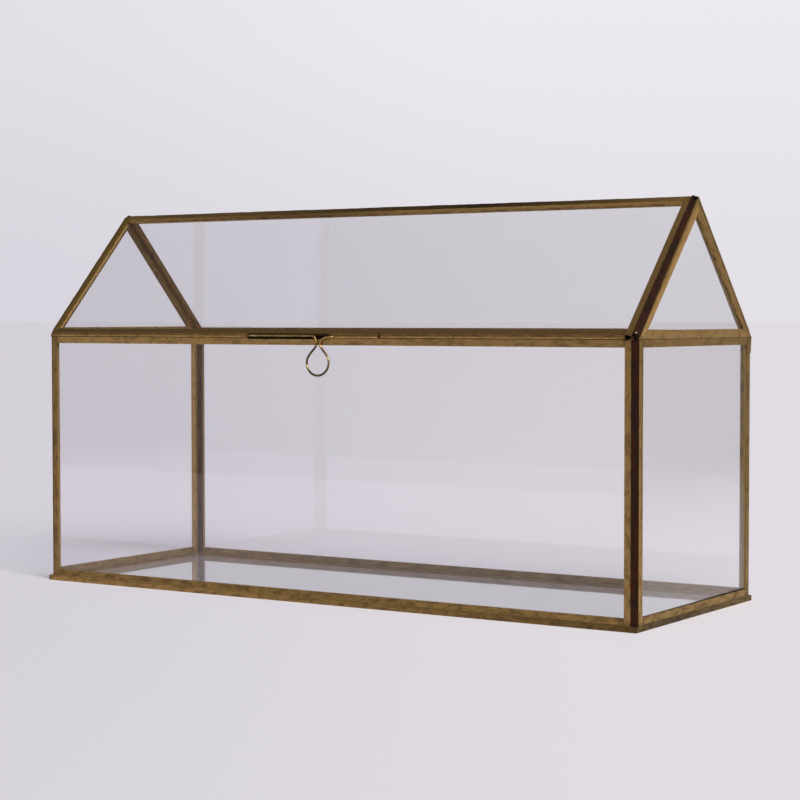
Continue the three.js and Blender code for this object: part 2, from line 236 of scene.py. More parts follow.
# %% Floor
near_floor = 1.2
floor_front = -0.9
floor_reach = 60.0
floor_material = bpy.data.materials.new("pale_floor")
floor_material.use_nodes = True
tree = floor_material.node_tree
tree.nodes.clear()
place = put(tree, "ShaderNodeNewGeometry").outputs["Position"]
tooth = cloudy(tree, place, 900.0, 3.0)
distance = put(tree, "ShaderNodeVectorMath", {0: place}, operation="LENGTH").outputs["Value"]
shrink = calculate(tree, "DIVIDE", 1.0, calculate(tree, "MAXIMUM", distance, near_floor))
toward = put(tree, "ShaderNodeVectorMath", {0: place, "Scale": shrink}, operation="SCALE")
paper = paper_with_painted_falloff(tree, toward.outputs[0], 0.0)
mottle = remap(tree, tooth, 0.3, 0.7, 0.985, 1.015)
grey = put(tree, "ShaderNodeCombineColor", {0: mottle, 1: mottle, 2: mottle}).outputs[0]
shade = blend_colours(tree, 1.0, paper, grey, "MULTIPLY")
relief = put(tree, "ShaderNodeBump", {"Height": tooth, "Distance": 0.02 * mm})
# Seen in mirrors, the floor to the right is painted dim grey: a painted reflection of the dim room.
painted_dim_reflection_share = remap(tree, put(tree, "ShaderNodeSeparateXYZ", {0: place}).outputs["X"], 0.35, 0.8)
in_mirror = times(tree, painted_dim_reflection_share, put(tree, "ShaderNodeLightPath").outputs["Is Glossy Ray"])
shade = blend_colours(tree, in_mirror, shade, tone(128, 124, 124))
surface = put(tree, "ShaderNodeBsdfPrincipled",
              {"Base Color": shade, "Roughness": 0.9, "Specular IOR Level": 0.1, "Normal": relief.outputs[0]})
put(tree, "ShaderNodeOutputMaterial", {"Surface": surface.outputs[0]})

sheet = bmesh.new()
corners = [(-floor_reach, floor_front), (floor_reach, floor_front),
           (floor_reach, floor_reach), (-floor_reach, floor_reach)]
sheet.faces.new([sheet.verts.new((x, y, 0.0)) for x, y in corners])
floor_mesh = bpy.data.meshes.new("floor")
sheet.to_mesh(floor_mesh)
sheet.free()
floor_mesh.materials.append(floor_material)
floor = bpy.data.objects.new("floor", floor_mesh)
scene.collection.objects.link(floor)
print("floor:", [round(part, 2) for part in floor.dimensions])

# %% [markdown]
# ## Effects that several metals share
# Brass that was brushed, darkened and handled shows the same few effects everywhere: fine lines
# along its length, cloudy patches with small specks, bright rubbed edges, and a stain beside each
# soldered joint. Each is a node group with named inputs, built once and set differently in each
# material. They read coordinates that every metal piece carries: how far along it a point lies,
# and where it lies across it.


# %% A helper that opens a node group
def open_group(name, inputs, outputs):
    group = bpy.data.node_groups.new(name, "ShaderNodeTree")
    for label, kind in inputs:
        group.interface.new_socket(label, in_out="INPUT", socket_type="NodeSocket" + kind)
    for label, kind in outputs:
        group.interface.new_socket(label, in_out="OUTPUT", socket_type="NodeSocket" + kind)
    return group, put(group, "NodeGroupInput").outputs, put(group, "NodeGroupOutput").inputs


print("a group's own nodes:", "NodeGroupInput", "NodeGroupOutput")

# %% Brushed lines along the length
grain_group, given, result = open_group(
    "brushed_lines",
    [("Stock", "Vector"), ("Line Width", "Float"), ("Line Length", "Float")],
    [("Lines", "Float")],
)
slim = calculate(grain_group, "DIVIDE", 1.0, given["Line Width"])
reach = calculate(grain_group, "DIVIDE", 1.0, given["Line Length"])
stretch = put(grain_group, "ShaderNodeCombineXYZ", {"X": reach, "Y": slim, "Z": slim})
drawn = put(grain_group, "ShaderNodeVectorMath", {0: given["Stock"], 1: stretch.outputs[0]},
            operation="MULTIPLY")
lines = cloudy(grain_group, drawn.outputs[0], 1.0, 3.0, 0.6)
grain_group.links.new(remap(grain_group, lines, 0.3, 0.7), result["Lines"])
print("group:", grain_group.name)

# %% Cloudy patches and small specks
patina_group, given, result = open_group(
    "patina",
    [("Stock", "Vector"), ("Patch Size", "Float"), ("Speck Size", "Float"), ("Cover", "Float")],
    [("Patches", "Float"), ("Specks", "Float"), ("Cloud", "Float")],
)
rolled = put(patina_group, "ShaderNodeVectorMath", {0: given["Stock"], 1: (0.45, 1.0, 1.0)},
             operation="MULTIPLY")
cloud_scale = calculate(patina_group, "DIVIDE", 1.0, given["Patch Size"])
cloud = cloudy(patina_group, rolled.outputs[0], cloud_scale, 6.0, 0.7, 0.4)
level = calculate(patina_group, "SUBTRACT", 0.72, times(patina_group, given["Cover"], 0.3))
patches = remap(patina_group, cloud, calculate(patina_group, "SUBTRACT", level, 0.12),
                calculate(patina_group, "ADD", level, 0.1))
speck_scale = calculate(patina_group, "DIVIDE", 1.0, given["Speck Size"])
speck = cloudy(patina_group, given["Stock"], speck_scale, 2.0)
clusters = remap(patina_group, cloud, 0.42, 0.62)
specks = times(patina_group, remap(patina_group, speck, 0.6, 0.7),
               calculate(patina_group, "MULTIPLY_ADD", clusters, 0.8, 0.2))
patina_group.links.new(patches, result["Patches"])
patina_group.links.new(specks, result["Specks"])
patina_group.links.new(cloud, result["Cloud"])
print("group:", patina_group.name)

# %% Rubbed edges, and the stain beside a joint
wear_group, given, result = open_group(
    "rubbed_edges",
    [("Stock", "Vector"), ("Rim", "Float"), ("Amount", "Float")],
    [("Rubbed", "Float")],
)
breaks = cloudy(wear_group, given["Stock"], 260.0, 3.0, 0.6)
kept = remap(wear_group, breaks, 0.38, 0.62)
edge = times(wear_group, calculate(wear_group, "POWER", given["Rim"], 2.0), kept)
wear_group.links.new(calculate(wear_group, "MULTIPLY", edge, given["Amount"], clamp=True),
                     result["Rubbed"])

stain_group, given, result = open_group(
    "joint_stain",
    [("Stock", "Vector"), ("Near End", "Float"), ("Reach", "Float")],
    [("Stain", "Float")],
)
ragged = cloudy(stain_group, given["Stock"], 420.0, 3.0, 0.6)
limit = times(stain_group, given["Reach"], remap(stain_group, ragged, 0.25, 0.75, 0.3, 1.6))
share = calculate(stain_group, "DIVIDE", given["Near End"], limit)
stain_group.links.new(remap(stain_group, share, 1.0, 0.2), result["Stain"])
print("groups:", wear_group.name, stain_group.name)

# %% [markdown]
# ## The metals
# Antique brass is metal all through, so its colour is the colour of its reflections. Dark patina
# is rougher and duller than the metal round it, so the same masks steer colour and roughness. Each
# piece also carries a shade of its own: partly patina that took unevenly from one length to the
# next, and partly painted light and shade, which sets a length lighter or darker as light falls on it.
# Inside the slots, where no cloth ever rubbed, a dull film scatters light instead of mirroring it.


# %% A helper that opens a material, and one that reads a carried coordinate
def open_material(name):
    material = bpy.data.materials.new(name)
    material.use_nodes = True
    material.node_tree.nodes.clear()
    return material, material.node_tree


def use_group(tree, group, inputs):
    return put(tree, "ShaderNodeGroup", inputs, node_tree=group).outputs


def carried(tree, name, output="Fac"):
    return put(tree, "ShaderNodeAttribute", attribute_name=name).outputs[output]


print("metals read: stock, rim, near_end, shade, inside")

# %% Antique brass
def antique_metal(name, look):
    material, tree = open_material(name)
    stock = carried(tree, "stock", "Vector")
    lines = use_group(tree, grain_group, {"Stock": stock, "Line Width": look["line_width"],
                                          "Line Length": look["line_length"]})["Lines"]
    marks = use_group(tree, patina_group, {"Stock": stock, "Patch Size": look["patch_size"],
                                           "Speck Size": look["speck_size"], "Cover": look["cover"]})
    rubbed = use_group(tree, wear_group, {"Stock": stock, "Rim": carried(tree, "rim"),
                                          "Amount": look["wear"]})["Rubbed"]
    stain = use_group(tree, stain_group, {"Stock": stock, "Near End": carried(tree, "near_end"),
                                          "Reach": look["stain_reach"]})["Stain"]
    body = blend_colours(tree, marks["Cloud"], look["warm"], look["plain"])
    for mask, depth, colour in ((lines, "line_depth", "dull"), (marks["Patches"], "patch_depth", "dark"),
                                (stain, "stain_depth", "dark"), (marks["Specks"], "speck_depth", "speck")):
        body = blend_colours(tree, times(tree, mask, look[depth]), body, look[colour])
    # The carried shade multiplies the colour: the patina's tone together with painted light and shade.
    body = blend_colours(tree, 1.0, body, carried(tree, "shade", "Vector"), "MULTIPLY")
    body = blend_colours(tree, rubbed, body, look["bright"])
    film = carried(tree, "inside")
    body = blend_colours(tree, film, body, look["film"])
    rough = calculate(tree, "MULTIPLY_ADD", marks["Patches"], 0.16, look["roughness"])
    rough = calculate(tree, "MULTIPLY_ADD", lines, 0.06, rough)
    rough = calculate(tree, "MULTIPLY_ADD", rubbed, -0.1, rough)
    metal = calculate(tree, "MULTIPLY_ADD", marks["Patches"], -0.1, 1.0)
    metal = calculate(tree, "MULTIPLY_ADD", film, -0.8, metal, clamp=True)
    height = calculate(tree, "MULTIPLY_ADD", lines, 0.5, times(tree, marks["Cloud"], 0.8))
    height = calculate(tree, "MULTIPLY_ADD", marks["Specks"], -0.6, height)
    relief = put(tree, "ShaderNodeBump", {"Height": height, "Distance": look["relief"]})
    surface = put(tree, "ShaderNodeBsdfPrincipled",
                  {"Base Color": body, "Metallic": metal, "Roughness": rough, "Normal": relief.outputs[0]})
    put(tree, "ShaderNodeOutputMaterial", {"Surface": surface.outputs[0]})
    return material


brass_look = {
    "warm": tone(190, 150, 92), "plain": tone(186, 154, 98), "dull": tone(160, 130, 82),
    "dark": tone(112, 86, 52), "speck": tone(78, 56, 34), "bright": tone(222, 186, 124),
    "film": tone(166, 132, 84),
    "line_width": 0.7 * mm, "line_length": 8 * mm, "line_depth": 0.6,
    "patch_size": 4.2 * mm, "speck_size": 1.0 * mm, "cover": 0.6,
    "patch_depth": 0.75, "speck_depth": 0.7, "wear": 0.15,
    "stain_reach": 4 * mm, "stain_depth": 0.35, "roughness": 0.4, "relief": 0.04 * mm,
}
antique_brass = antique_metal("antique_brass", brass_look)
# On the wire the strong rubbed spots and their pale colour are partly wear and partly painted glints.
wire_look_with_painted_glints = dict(brass_look, warm=tone(176, 144, 90), plain=tone(152, 124, 78), dark=tone(82, 62, 38),
                 bright=tone(236, 208, 150), patch_size=4 * mm, speck_size=0.7 * mm,
                 roughness=0.24, wear=1.4, stain_reach=0.4 * mm, relief=0.02 * mm)
brass_wire = antique_metal("brass_wire", wire_look_with_painted_glints)
print("materials:", antique_brass.name, brass_wire.name)

# %% Dark solder, and solder that was brushed until the brass colour came back
solder_look = dict(brass_look, warm=tone(74, 40, 27), plain=tone(46, 28, 19), dull=tone(38, 25, 18),
                   dark=tone(27, 18, 14), speck=tone(16, 11, 9), bright=tone(104, 68, 46),
                   line_width=0.5 * mm, line_length=4 * mm, line_depth=0.35,
                   patch_size=7 * mm, cover=0.8, patch_depth=0.7, wear=0.15,
                   stain_reach=3 * mm, stain_depth=0.4, roughness=0.42, relief=0.12 * mm)
dark_solder = antique_metal("dark_solder", solder_look)
brushed_look = dict(brass_look, warm=tone(176, 136, 84), plain=tone(160, 130, 84), dark=tone(88, 66, 40),
                    cover=0.6, patch_size=4 * mm, wear=0.1, relief=0.1 * mm)
brushed_solder = antique_metal("brushed_solder", brushed_look)
# Black for the knobs of solder, and for the sheets of painted shadow in the groove and slot.
black_solder_and_shade_look = dict(solder_look, warm=tone(26, 18, 13), plain=tone(20, 14, 10), dull=tone(18, 13, 10),
                 dark=tone(12, 9, 7), speck=tone(9, 7, 6), bright=tone(40, 30, 22), roughness=0.6)
black_solder_and_painted_shade = antique_metal("black_solder_and_painted_shade", black_solder_and_shade_look)
print("materials:", dark_solder.name, brushed_solder.name, black_solder_and_painted_shade.name)

# %% [markdown]
# ## The glass
# Clear sheet glass is mostly what lies behind it. The Principled shader with full transmission
# bends and reflects light as the real pane does. Light from a lamp would be lost on its way in,
# so for shadow rays the pane is a slightly grey transparent sheet, and for rays from the matt floor
# too, which would otherwise gather bright patches. A faint film of handling marks changes only the
# roughness and the height. The base pane lies flat on the floor and lets less light down to it.

# %% Clear glass
def clear_sheet(name, passed):
    material, tree = open_material(name)
    place = put(tree, "ShaderNodeNewGeometry").outputs["Position"]
    rough = remap(tree, cloudy(tree, place, 22.0, 6.0, 0.7), 0.5, 0.8, 0.0, 0.02)
    wave = cloudy(tree, place, 9.0, 1.0)
    relief = put(tree, "ShaderNodeBump", {"Height": wave, "Distance": 0.02 * mm})
    pane = put(tree, "ShaderNodeBsdfPrincipled",
               {"Base Color": (0.974, 0.969, 0.981, 1.0), "Metallic": 0.0, "Roughness": rough, "IOR": 1.5,
                "Transmission Weight": 1.0, "Normal": relief.outputs[0]})
    lamp_path = put(tree, "ShaderNodeBsdfTransparent", {"Color": (passed, passed, passed * 1.01, 1.0)})
    path = put(tree, "ShaderNodeLightPath")
    for_the_floor = put(tree, "ShaderNodeMixShader",
                        {0: path.outputs["Is Diffuse Ray"], 1: pane.outputs[0], 2: lamp_path.outputs[0]})
    mixed = put(tree, "ShaderNodeMixShader",
                {0: path.outputs["Is Shadow Ray"], 1: for_the_floor.outputs[0], 2: lamp_path.outputs[0]})
    put(tree, "ShaderNodeOutputMaterial", {"Surface": mixed.outputs[0]})
    return material


clear_glass = clear_sheet("clear_glass", 0.985)
base_glass = clear_sheet("base_glass", 0.66)
panes = [name for name in frame["nodes"] if name.endswith("_pane")]
for name in panes:
    frame["nodes"][name].data.materials[0] = base_glass if name == "base_pane" else clear_glass
print("glass:", len(panes), "panes")

# %% [markdown]
# ## Formed channel
# A real channel is a strip of brass folded along two lines, cut, and pressed onto the glass. Its
# section could be drawn again, but the solids already have it exactly. So each solid's mesh is
# copied, its triangles are merged, and rings are cut along its length. Then there are points to
# press the lips in a little, unevenly, as fingers and pliers do. Every point also carries where
# it lies on the strip, for the brushed lines and the patina to follow.


# %% Helpers for copied solids
def copy_of_solid(name):
    shape = bmesh.new()
    shape.from_mesh(frame["nodes"][name].data)
    bmesh.ops.remove_doubles(shape, verts=shape.verts, dist=0.002 * mm)
    bmesh.ops.dissolve_limit(shape, angle_limit=0.002, verts=shape.verts, edges=shape.edges)
    return shape


def long_direction(shape):
    longest = max(shape.edges, key=lambda edge: edge.calc_length())
    return (longest.verts[1].co - longest.verts[0].co).normalized()


def cut(shape, point, normal):
    everything = shape.verts[:] + shape.edges[:] + shape.faces[:]
    bmesh.ops.bisect_plane(shape, geom=everything, plane_co=point, plane_no=normal, dist=0.005 * mm)


def span(shape, direction):
    levels = [vert.co.dot(direction) for vert in shape.verts]
    return min(levels), max(levels)


def cut_rings(shape, direction, spacing):
    low, high = span(shape, direction)
    count = max(2, round((high - low) / spacing))
    for step in range(1, count):
        cut(shape, direction * (low + (high - low) * step / count), direction)


def carry(shape, name, kind="float"):
    return getattr(shape.verts.layers, kind).new(name)


def carry_stock(shape):
    return carry(shape, "stock", "float_vector"), carry(shape, "rim"), carry(shape, "near_end")


def wander(x, y=0.0, z=0.0):
    """A value between about -1 and 1 that changes smoothly from place to place."""
    return noise.noise(Vector((x, y, z)))


sample = copy_of_solid("base_channel_front")
print("points of one plain channel:", len(sample.verts))
sample.free()

# %% Finish one piece: its shade, its folds, its material and its body
sharp_fold = math.radians(50)


def finish_piece(shape, name, material, body, replaced=(), shade=(1.0, 1.0)):
    # The shade carried by every point is the piece's tone together with painted light and shade.
    if "shade" not in shape.verts.layers.float_vector:
        level, blue = shade
        layer = carry(shape, "shade", "float_vector")
        for vert in shape.verts:
            vert[layer] = Vector((level, level, level * blue))
    mesh = bpy.data.meshes.new(name)
    bmesh.ops.recalc_face_normals(shape, faces=shape.faces)
    for face in shape.faces:
        face.smooth = True
    for edge in shape.edges:
        edge.smooth = edge.calc_face_angle(0.0) < sharp_fold
    shape.to_mesh(mesh)
    shape.free()
    mesh.materials.append(material)
    piece = bpy.data.objects.new(name, mesh)
    scene.collection.objects.link(piece)
    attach(piece, body)
    if replaced:
        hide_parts(*replaced)
    return piece


def body_of(name):
    return frame["nodes"][name]["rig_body"]


print("folds sharper than", round(math.degrees(sharp_fold)), "degrees stay crisp")

# %% Patina and painted light and shade on each length
# For each: levels from its left or front end to its right or rear end (or from its foot to its
# top, where it stands upright), and then the share of blue that is left.
# Each level is partly the patina's own unevenness and partly painted light and shade, set so that a length
# comes out as light or dark as the light falls on it.
channel_patina_and_painted_light = {
    "base_channel_front": (0.95, 0.85, 0.65, 0.36, 0.95),
    "base_channel_right": (0.42, 0.2, 0.3, 0.42, 0.42, 0.66),
    "front_wall_channel_bottom": (0.68, 0.74, 0.93), "right_wall_channel_bottom": (0.85, 0.9, 0.8),
    "front_wall_channel_right": (0.86, 0.92, 0.98), "right_wall_channel_front": (1.05, 1.0, 0.8),
    "front_wall_channel_left": (0.7, 0.82, 1.0), "right_wall_channel_back": (0.8, 0.92, 0.85),
    "front_wall_channel_top": (1.22, 0.94, 1.02), "right_wall_channel_top": (1.12, 1.05, 0.9),
    "back_wall_channel_right": (0.7, 0.75, 0.7), "back_wall_channel_left": (0.15, 0.18, 1.5),
    "left_wall_channel_back": (1.2, 1.3, 1.0), "back_wall_channel_bottom": (0.55, 0.55, 1.0),
    "left_wall_channel_bottom": (0.6, 0.6, 0.9),
    "front_slope_channel_ridge": (1.5, 1.4, 1.05, 0.85, 1.1, 1.7, 1.6, 1.7, 1.7, 1.7, 1.0),
    "front_slope_channel_eave": (0.62, 0.76, 1.0), "front_slope_channel_left": (0.86, 0.86, 0.82),
    "front_slope_channel_right": (1.0, 1.0, 1.0),
    "right_gable_channel_front": (1.9, 1.9, 0.9), "right_gable_channel_back": (1.2, 1.2, 0.9),
    "right_gable_channel_foot": (1.4, 1.4, 0.95),
    "left_gable_channel_front": (0.32, 0.32, 0.75), "left_gable_channel_back": (0.8, 0.8, 0.9),
}


def spread_tone_and_painted_light(shape, along, shade):
    """Spread the levels evenly along a piece; the last value is the share of blue."""
    levels, blue = list(shade[:-1]), shade[-1]
    if sum(along) < 0:
        levels.reverse()
    levels.append(levels[-1])
    start, end = span(shape, along)
    layer = carry(shape, "shade", "float_vector")
    for vert in shape.verts:
        place = (vert.co.dot(along) - start) / (end - start) * (len(levels) - 2)
        step = min(int(place), len(levels) - 2)
        level = levels[step] + (levels[step + 1] - levels[step]) * (place - step)
        vert[layer] = Vector((level, level, level * blue))


print("lengths with a shade of their own:", len(channel_patina_and_painted_light))

# %% Form one channel
ring_spacing = 6 * mm
edge_strip = 0.38 * mm
web_strip = 0.55 * mm
tip_band = 0.1 * mm
fold_band = 0.35 * mm
lip_press = 0.14 * mm
wall_stock = 0.4 * mm
touching = 0.01 * mm


def form_channel(name, number):
    shape = copy_of_solid(name)
    along = long_direction(shape)
    side = max(shape.faces, key=lambda face: face.calc_area()).normal.copy()
    up = along.cross(side).normalized()
    low, high = span(shape, up)
    # The tips of the two lips give eight points on one level, and the back only four.
    tips = sum(1 for vert in shape.verts if high - vert.co.dot(up) < touching)
    if tips < 8:
        up = -up
        low, high = span(shape, up)
    lip = high - low
    left, right = span(shape, side)
    middle, half = (left + right) / 2, (right - left) / 2
    start, end = span(shape, along)
    cut_rings(shape, along, ring_spacing)
    for level in (low + edge_strip, high - edge_strip):
        cut(shape, up * level, up)
    for level in (middle - half + web_strip, middle + half - web_strip):
        cut(shape, side * level, side)
    stock, rim, near_end = carry_stock(shape)
    inside = carry(shape, "inside")
    for vert in shape.verts:
        far, deep, wide = vert.co.dot(along) - start, vert.co.dot(up) - low, vert.co.dot(side) - middle
        vert[stock] = Vector((far + number * 0.731, wide + number * 0.113, deep))
        on_tip = lip - deep < tip_band
        on_fold = deep < fold_band and abs(wide) > half - fold_band
        vert[rim] = 1.0 if on_tip or on_fold else 0.0
        in_slot = abs(wide) < half - 0.9 * wall_stock and 0.9 * wall_stock < deep < lip - touching
        vert[inside] = 1.0 if in_slot else 0.0
        vert[near_end] = min(far, end - start - far)
        uneven = 0.5 + 0.5 * wander(far / (26 * mm), number * 7.3, 0.0 if wide > 0 else 4.0)
        pressed = lip_press * uneven * max(0.0, deep / lip) ** 1.5
        vert.co -= side * math.copysign(pressed, wide)
    spread_tone_and_painted_light(shape, along, channel_patina_and_painted_light.get(name, (0.9, 0.9, 0.95)))
    return finish_piece(shape, name + "_formed", antique_brass, body_of(name), [name])


channels = sorted(name for name in frame["nodes"] if "_channel_" in name)
for number, name in enumerate(channels):
    form_channel(name, number)
print("channels:", len(channels))

# %% [markdown]
# ## Solder seams
# Where two panels meet at their inner edges an open notch is left, and solder fills it. It was
# run in by hand and darkened afterwards, so its face is lumpy and streaked. The solid is copied
# again, cut into short rings, and only its outer face is pushed in and out: its buried faces stay.
# Its two edges are drawn over the folds of the channels, where the solder wetted them. Along the
# ridge and down the front left corner the solder was brushed until it looked like the brass, and
# at the ridge it was drawn down over both slopes in a thin lap. The feet of the corner seams sag
# onto the base.


# %% Run one seam
bead_spacing = 1.6 * mm
wetted_across = 0.53 * mm
wetted_back = 0.38 * mm
edge_share = 0.08
foot_sag = 0.4 * mm
ridge_lap = 3.0 * mm
ridge_lap_lift = 0.12 * mm
ridge_middle = 0.5 * mm
shoulder_spread = 1.05 * mm
shoulder_drop = 0.13 * mm
box_centre = Vector((0.0, 0.0, 0.1))
# Along the ridge the levels are painted light and shade; down the front left corner the level is the brushed
# solder's tone.
brushed_seam_tone_and_painted_light = {"ridge_seam": (1.2, 0.8, 0.95, 0.7, 0.55, 0.44, 0.24, 0.5, 0.85, 1.6, 0.95),
                 "front_left_corner_seam": (0.9, 0.9, 1.0)}


def run_seam(name, number):
    shape = copy_of_solid(name)
    along = long_direction(shape)
    start, end = span(shape, along)
    outward = sum((vert.co for vert in shape.verts), Vector()) / len(shape.verts) - box_centre
    outward = (outward - along * outward.dot(along)).normalized()
    cut_rings(shape, along, bead_spacing)
    across = along.cross(outward).normalized()
    left, right = span(shape, across)
    low, high = span(shape, outward)
    lowest = min(vert.co.z for vert in shape.verts)
    stock, rim, near_end = carry_stock(shape)
    for vert in shape.verts:
        far, wide, deep = vert.co.dot(along) - start, vert.co.dot(across), vert.co.dot(outward)
        share = (wide - left) / (right - left)
        vert[stock] = Vector((far + number * 0.917, wide + number * 0.271, deep))
        on_edge = not edge_share <= share <= 1 - edge_share
        vert[rim] = 1.0 if on_edge else 0.0
        vert[near_end] = min(far, end - start - far)
        if name == "ridge_seam" and not on_edge and abs(vert.co.y) > ridge_middle:
            vert.co.y += math.copysign(shoulder_spread, vert.co.y)
            vert.co.z -= shoulder_drop
        if name == "ridge_seam" and on_edge:
            down = ridge_lap * (1.0 + 0.12 * wander(far / (9 * mm), share * 3.0, 1.7))
            vert.co.y += math.copysign(down * slope_run + ridge_lap_lift * slope_rise, vert.co.y)
            vert.co.z += ridge_lap_lift * slope_run - down * slope_rise
        elif on_edge:
            ragged = 0.9 + 0.25 * wander(far / (5 * mm), share * 3.0, number * 2.3)
            vert.co += across * math.copysign(wetted_across * ragged, share - 0.5)
            vert.co -= outward * wetted_back * ragged
        elif 0.1 < share < 0.9 and deep > low + 0.3 * (high - low):
            lump = wander(far / (3.5 * mm), share * 2.0, number * 5.7)
            swell = wander(far / (14 * mm), share, number * 3.1 + 20)
            vert.co += outward * (0.1 * lump + 0.12 * swell) * mm * math.sin(math.pi * share)
        vert.co.z = min(vert.co.z, cad_high[2])
        if "corner" in name and vert.co.z < lowest + touching:
            vert.co.z -= foot_sag
    material = brushed_solder if name in brushed_seam_tone_and_painted_light else dark_solder
    spread_tone_and_painted_light(shape, along, brushed_seam_tone_and_painted_light.get(name, (1.0, 1.0, 1.0)))
    return finish_piece(shape, name + "_run", material, body_of(name), [name])


# %% The direction that the front slope faces, and the seams along it
slope_normal = min((face.normal for face in frame["nodes"]["front_slope_channel_eave"].data.polygons
                    if face.area > 0.0005 and face.normal.z > 0.5), key=lambda normal: normal.y).copy()
slope_rise, slope_run = abs(slope_normal.y), abs(slope_normal.z)
print("slope normal:", [round(part, 3) for part in slope_normal])
seams = sorted(name for name in frame["nodes"] if name.endswith("_seam"))
for number, name in enumerate(seams):
    run_seam(name, number)
print("seams:", len(seams))

# %% [markdown]
# ## Wire and rods
# Round stock is swept along a line. The centre lines are read back from the solids, ring by ring,
# so the pull, the rods and the hinge rod stay exactly where the joints need them. A smooth curve
# is laid through those points and a round section with a few nicks and flats follows it.


# %% Read a centre line
def centre_line(name):
    shape = copy_of_solid(name)
    caps = [face for face in shape.faces if len(face.verts) > 6]
    ring = list(caps[0].verts)
    seen = set(ring)
    line = [sum((vert.co for vert in ring), Vector()) / len(ring)]
    while True:
        following = {edge.other_vert(vert) for vert in ring for edge in vert.link_edges} - seen
        if not following:
            break
        ring = list(following)
        seen |= following
        line.append(sum((vert.co for vert in ring), Vector()) / len(ring))
    shape.free()
    return line


def smooth_line(points, spacing):
    line = []
    ends = [points[0] * 2 - points[1]] + points + [points[-1] * 2 - points[-2]]
    for before, first, second, after in zip(ends, ends[1:], ends[2:], ends[3:]):
        reach = (second - first).length
        steps = max(1, round(reach / spacing))
        tangent_in = (second - before) * (reach / ((second - first).length + (first - before).length))
        tangent_out = (after - first) * (reach / ((after - second).length + reach))
        for step in range(steps):
            t = step / steps
            line.append(first * (2 * t ** 3 - 3 * t ** 2 + 1) + tangent_in * (t ** 3 - 2 * t ** 2 + t)
                        + second * (3 * t ** 2 - 2 * t ** 3) + tangent_out * (t ** 3 - t ** 2))
    return line + [points[-1].copy()]


pull_line = smooth_line(centre_line("pull_wire"), 0.5 * mm)
print("pull:", len(pull_line), "points along its line")


# %% Sweep a round section
def close_up(shape, rings):
    """Join each ring to the next with faces, and cap both ends."""
    for first, second in zip(rings, rings[1:]):
        for corner in range(len(first)):
            after = (corner + 1) % len(first)
            shape.faces.new((first[corner], first[after], second[after], second[corner]))
    shape.faces.new(list(reversed(rings[0])))
    shape.faces.new(rings[-1])
    return shape


def sweep(line, radius, sides, number):
    shape = bmesh.new()
    stock, rim, near_end = carry_stock(shape)
    total = sum((b - a).length for a, b in zip(line, line[1:]))
    heading = (line[1] - line[0]).normalized()
    side = heading.orthogonal().normalized()
    rings, far = [], 0.0
    for index, point in enumerate(line):
        ahead = line[min(index + 1, len(line) - 1)] - line[max(index - 1, 0)]
        ahead.normalize()
        side = (side - ahead * side.dot(ahead)).normalized()
        other = ahead.cross(side)
        if index:
            far += (point - line[index - 1]).length
        ring = []
        for corner in range(sides):
            turn = 2 * math.pi * corner / sides
            out = side * math.cos(turn) + other * math.sin(turn)
            nick = wander(far / (2.2 * mm), math.cos(turn) * 1.5, math.sin(turn) * 1.5 + number * 9)
            vert = shape.verts.new(point + out * radius * (0.975 + 0.022 * nick))
            vert[stock] = Vector((far + number * 0.517, math.cos(turn) * radius, math.sin(turn) * radius))
            # Bright spots at random along the round stock: rubbed wear, and on the brass wire also painted
            # glints.
            vert[rim] = max(0.0, wander(far / (6 * mm), turn, number * 4.0) * 1.6)
            vert[near_end] = min(far, total - far)
            ring.append(vert)
        rings.append(ring)
    return close_up(shape, rings)


def within(value):
    return min(max(value, 0.0), 1.0)


# %% Bend the pull: darker down the loop, and its right arm painted brighter as painted light
wire_radius = 0.72 * mm
loop_right = 12 * mm
arm_ramp = 6 * mm
arm_forward = 0.7 * mm
loop_top = 166 * mm
loop_back = 0.2 * mm
for point in pull_line:
    share = within((point.x - loop_right) / arm_ramp)
    point.y -= arm_forward * share * share * (3 - 2 * share)
    point.y += loop_back * within((loop_top - point.z) / (2 * mm))
pull = sweep(pull_line, wire_radius, 14, 1)
wire_shade = carry(pull, "shade", "float_vector")
for vert in pull.verts:
    # Darker toward the bottom of the loop; the right arm is painted brighter, painted light that shows it as
    # a pale line.
    hangs = within((loop_top - vert.co.z) / (5 * mm))
    level = 1.2 - 0.86 * hangs if vert.co.x < loop_right else 1.7
    vert[wire_shade] = Vector((level, level, level * 0.95))
finish_piece(pull, "pull_wire_bent", brass_wire, "lid", ["pull_wire"])
print("pull wire:", round(2 * wire_radius / mm, 2), "mm thick")

# %% Hinge rod and eave rods
rod_radius = 0.7 * mm
pin = sweep(smooth_line(centre_line("hinge_rod"), 1.0 * mm), rod_radius, 12, 2)
finish_piece(pin, "hinge_rod_bent", brass_wire, "box", ["hinge_rod"])
for number, name in enumerate(("eave_rod_left", "eave_rod_right"), 3):
    rod = sweep(smooth_line(centre_line(name), 2.0 * mm), rod_radius, 12, number)
    # The rods are set brighter than the channels: painted light on them.
    finish_piece(rod, name + "_laid", antique_brass, "lid", [name], (1.25, 0.95))
print("rods: 3")

# %% Hinge tube
tube = copy_of_solid("hinge_tube")
tube_along = Vector((1.0, 0.0, 0.0))
tube_start, tube_end = span(tube, tube_along)
bare_end = 0.2 * mm
cut_rings(tube, tube_along, ring_spacing)
tube_stock, tube_rim, tube_near_end = carry_stock(tube)
for vert in tube.verts:
    vert[tube_stock] = vert.co - tube_along * tube_start
    vert[tube_near_end] = min(vert.co.x - tube_start, tube_end - vert.co.x)
    vert[tube_rim] = 1.0 if vert[tube_near_end] < bare_end else 0.0
finish_piece(tube, "hinge_tube_drawn", antique_brass, "lid", ["hinge_tube"])
print("hinge tube:", round((tube_end - tube_start) / mm, 1), "mm long")

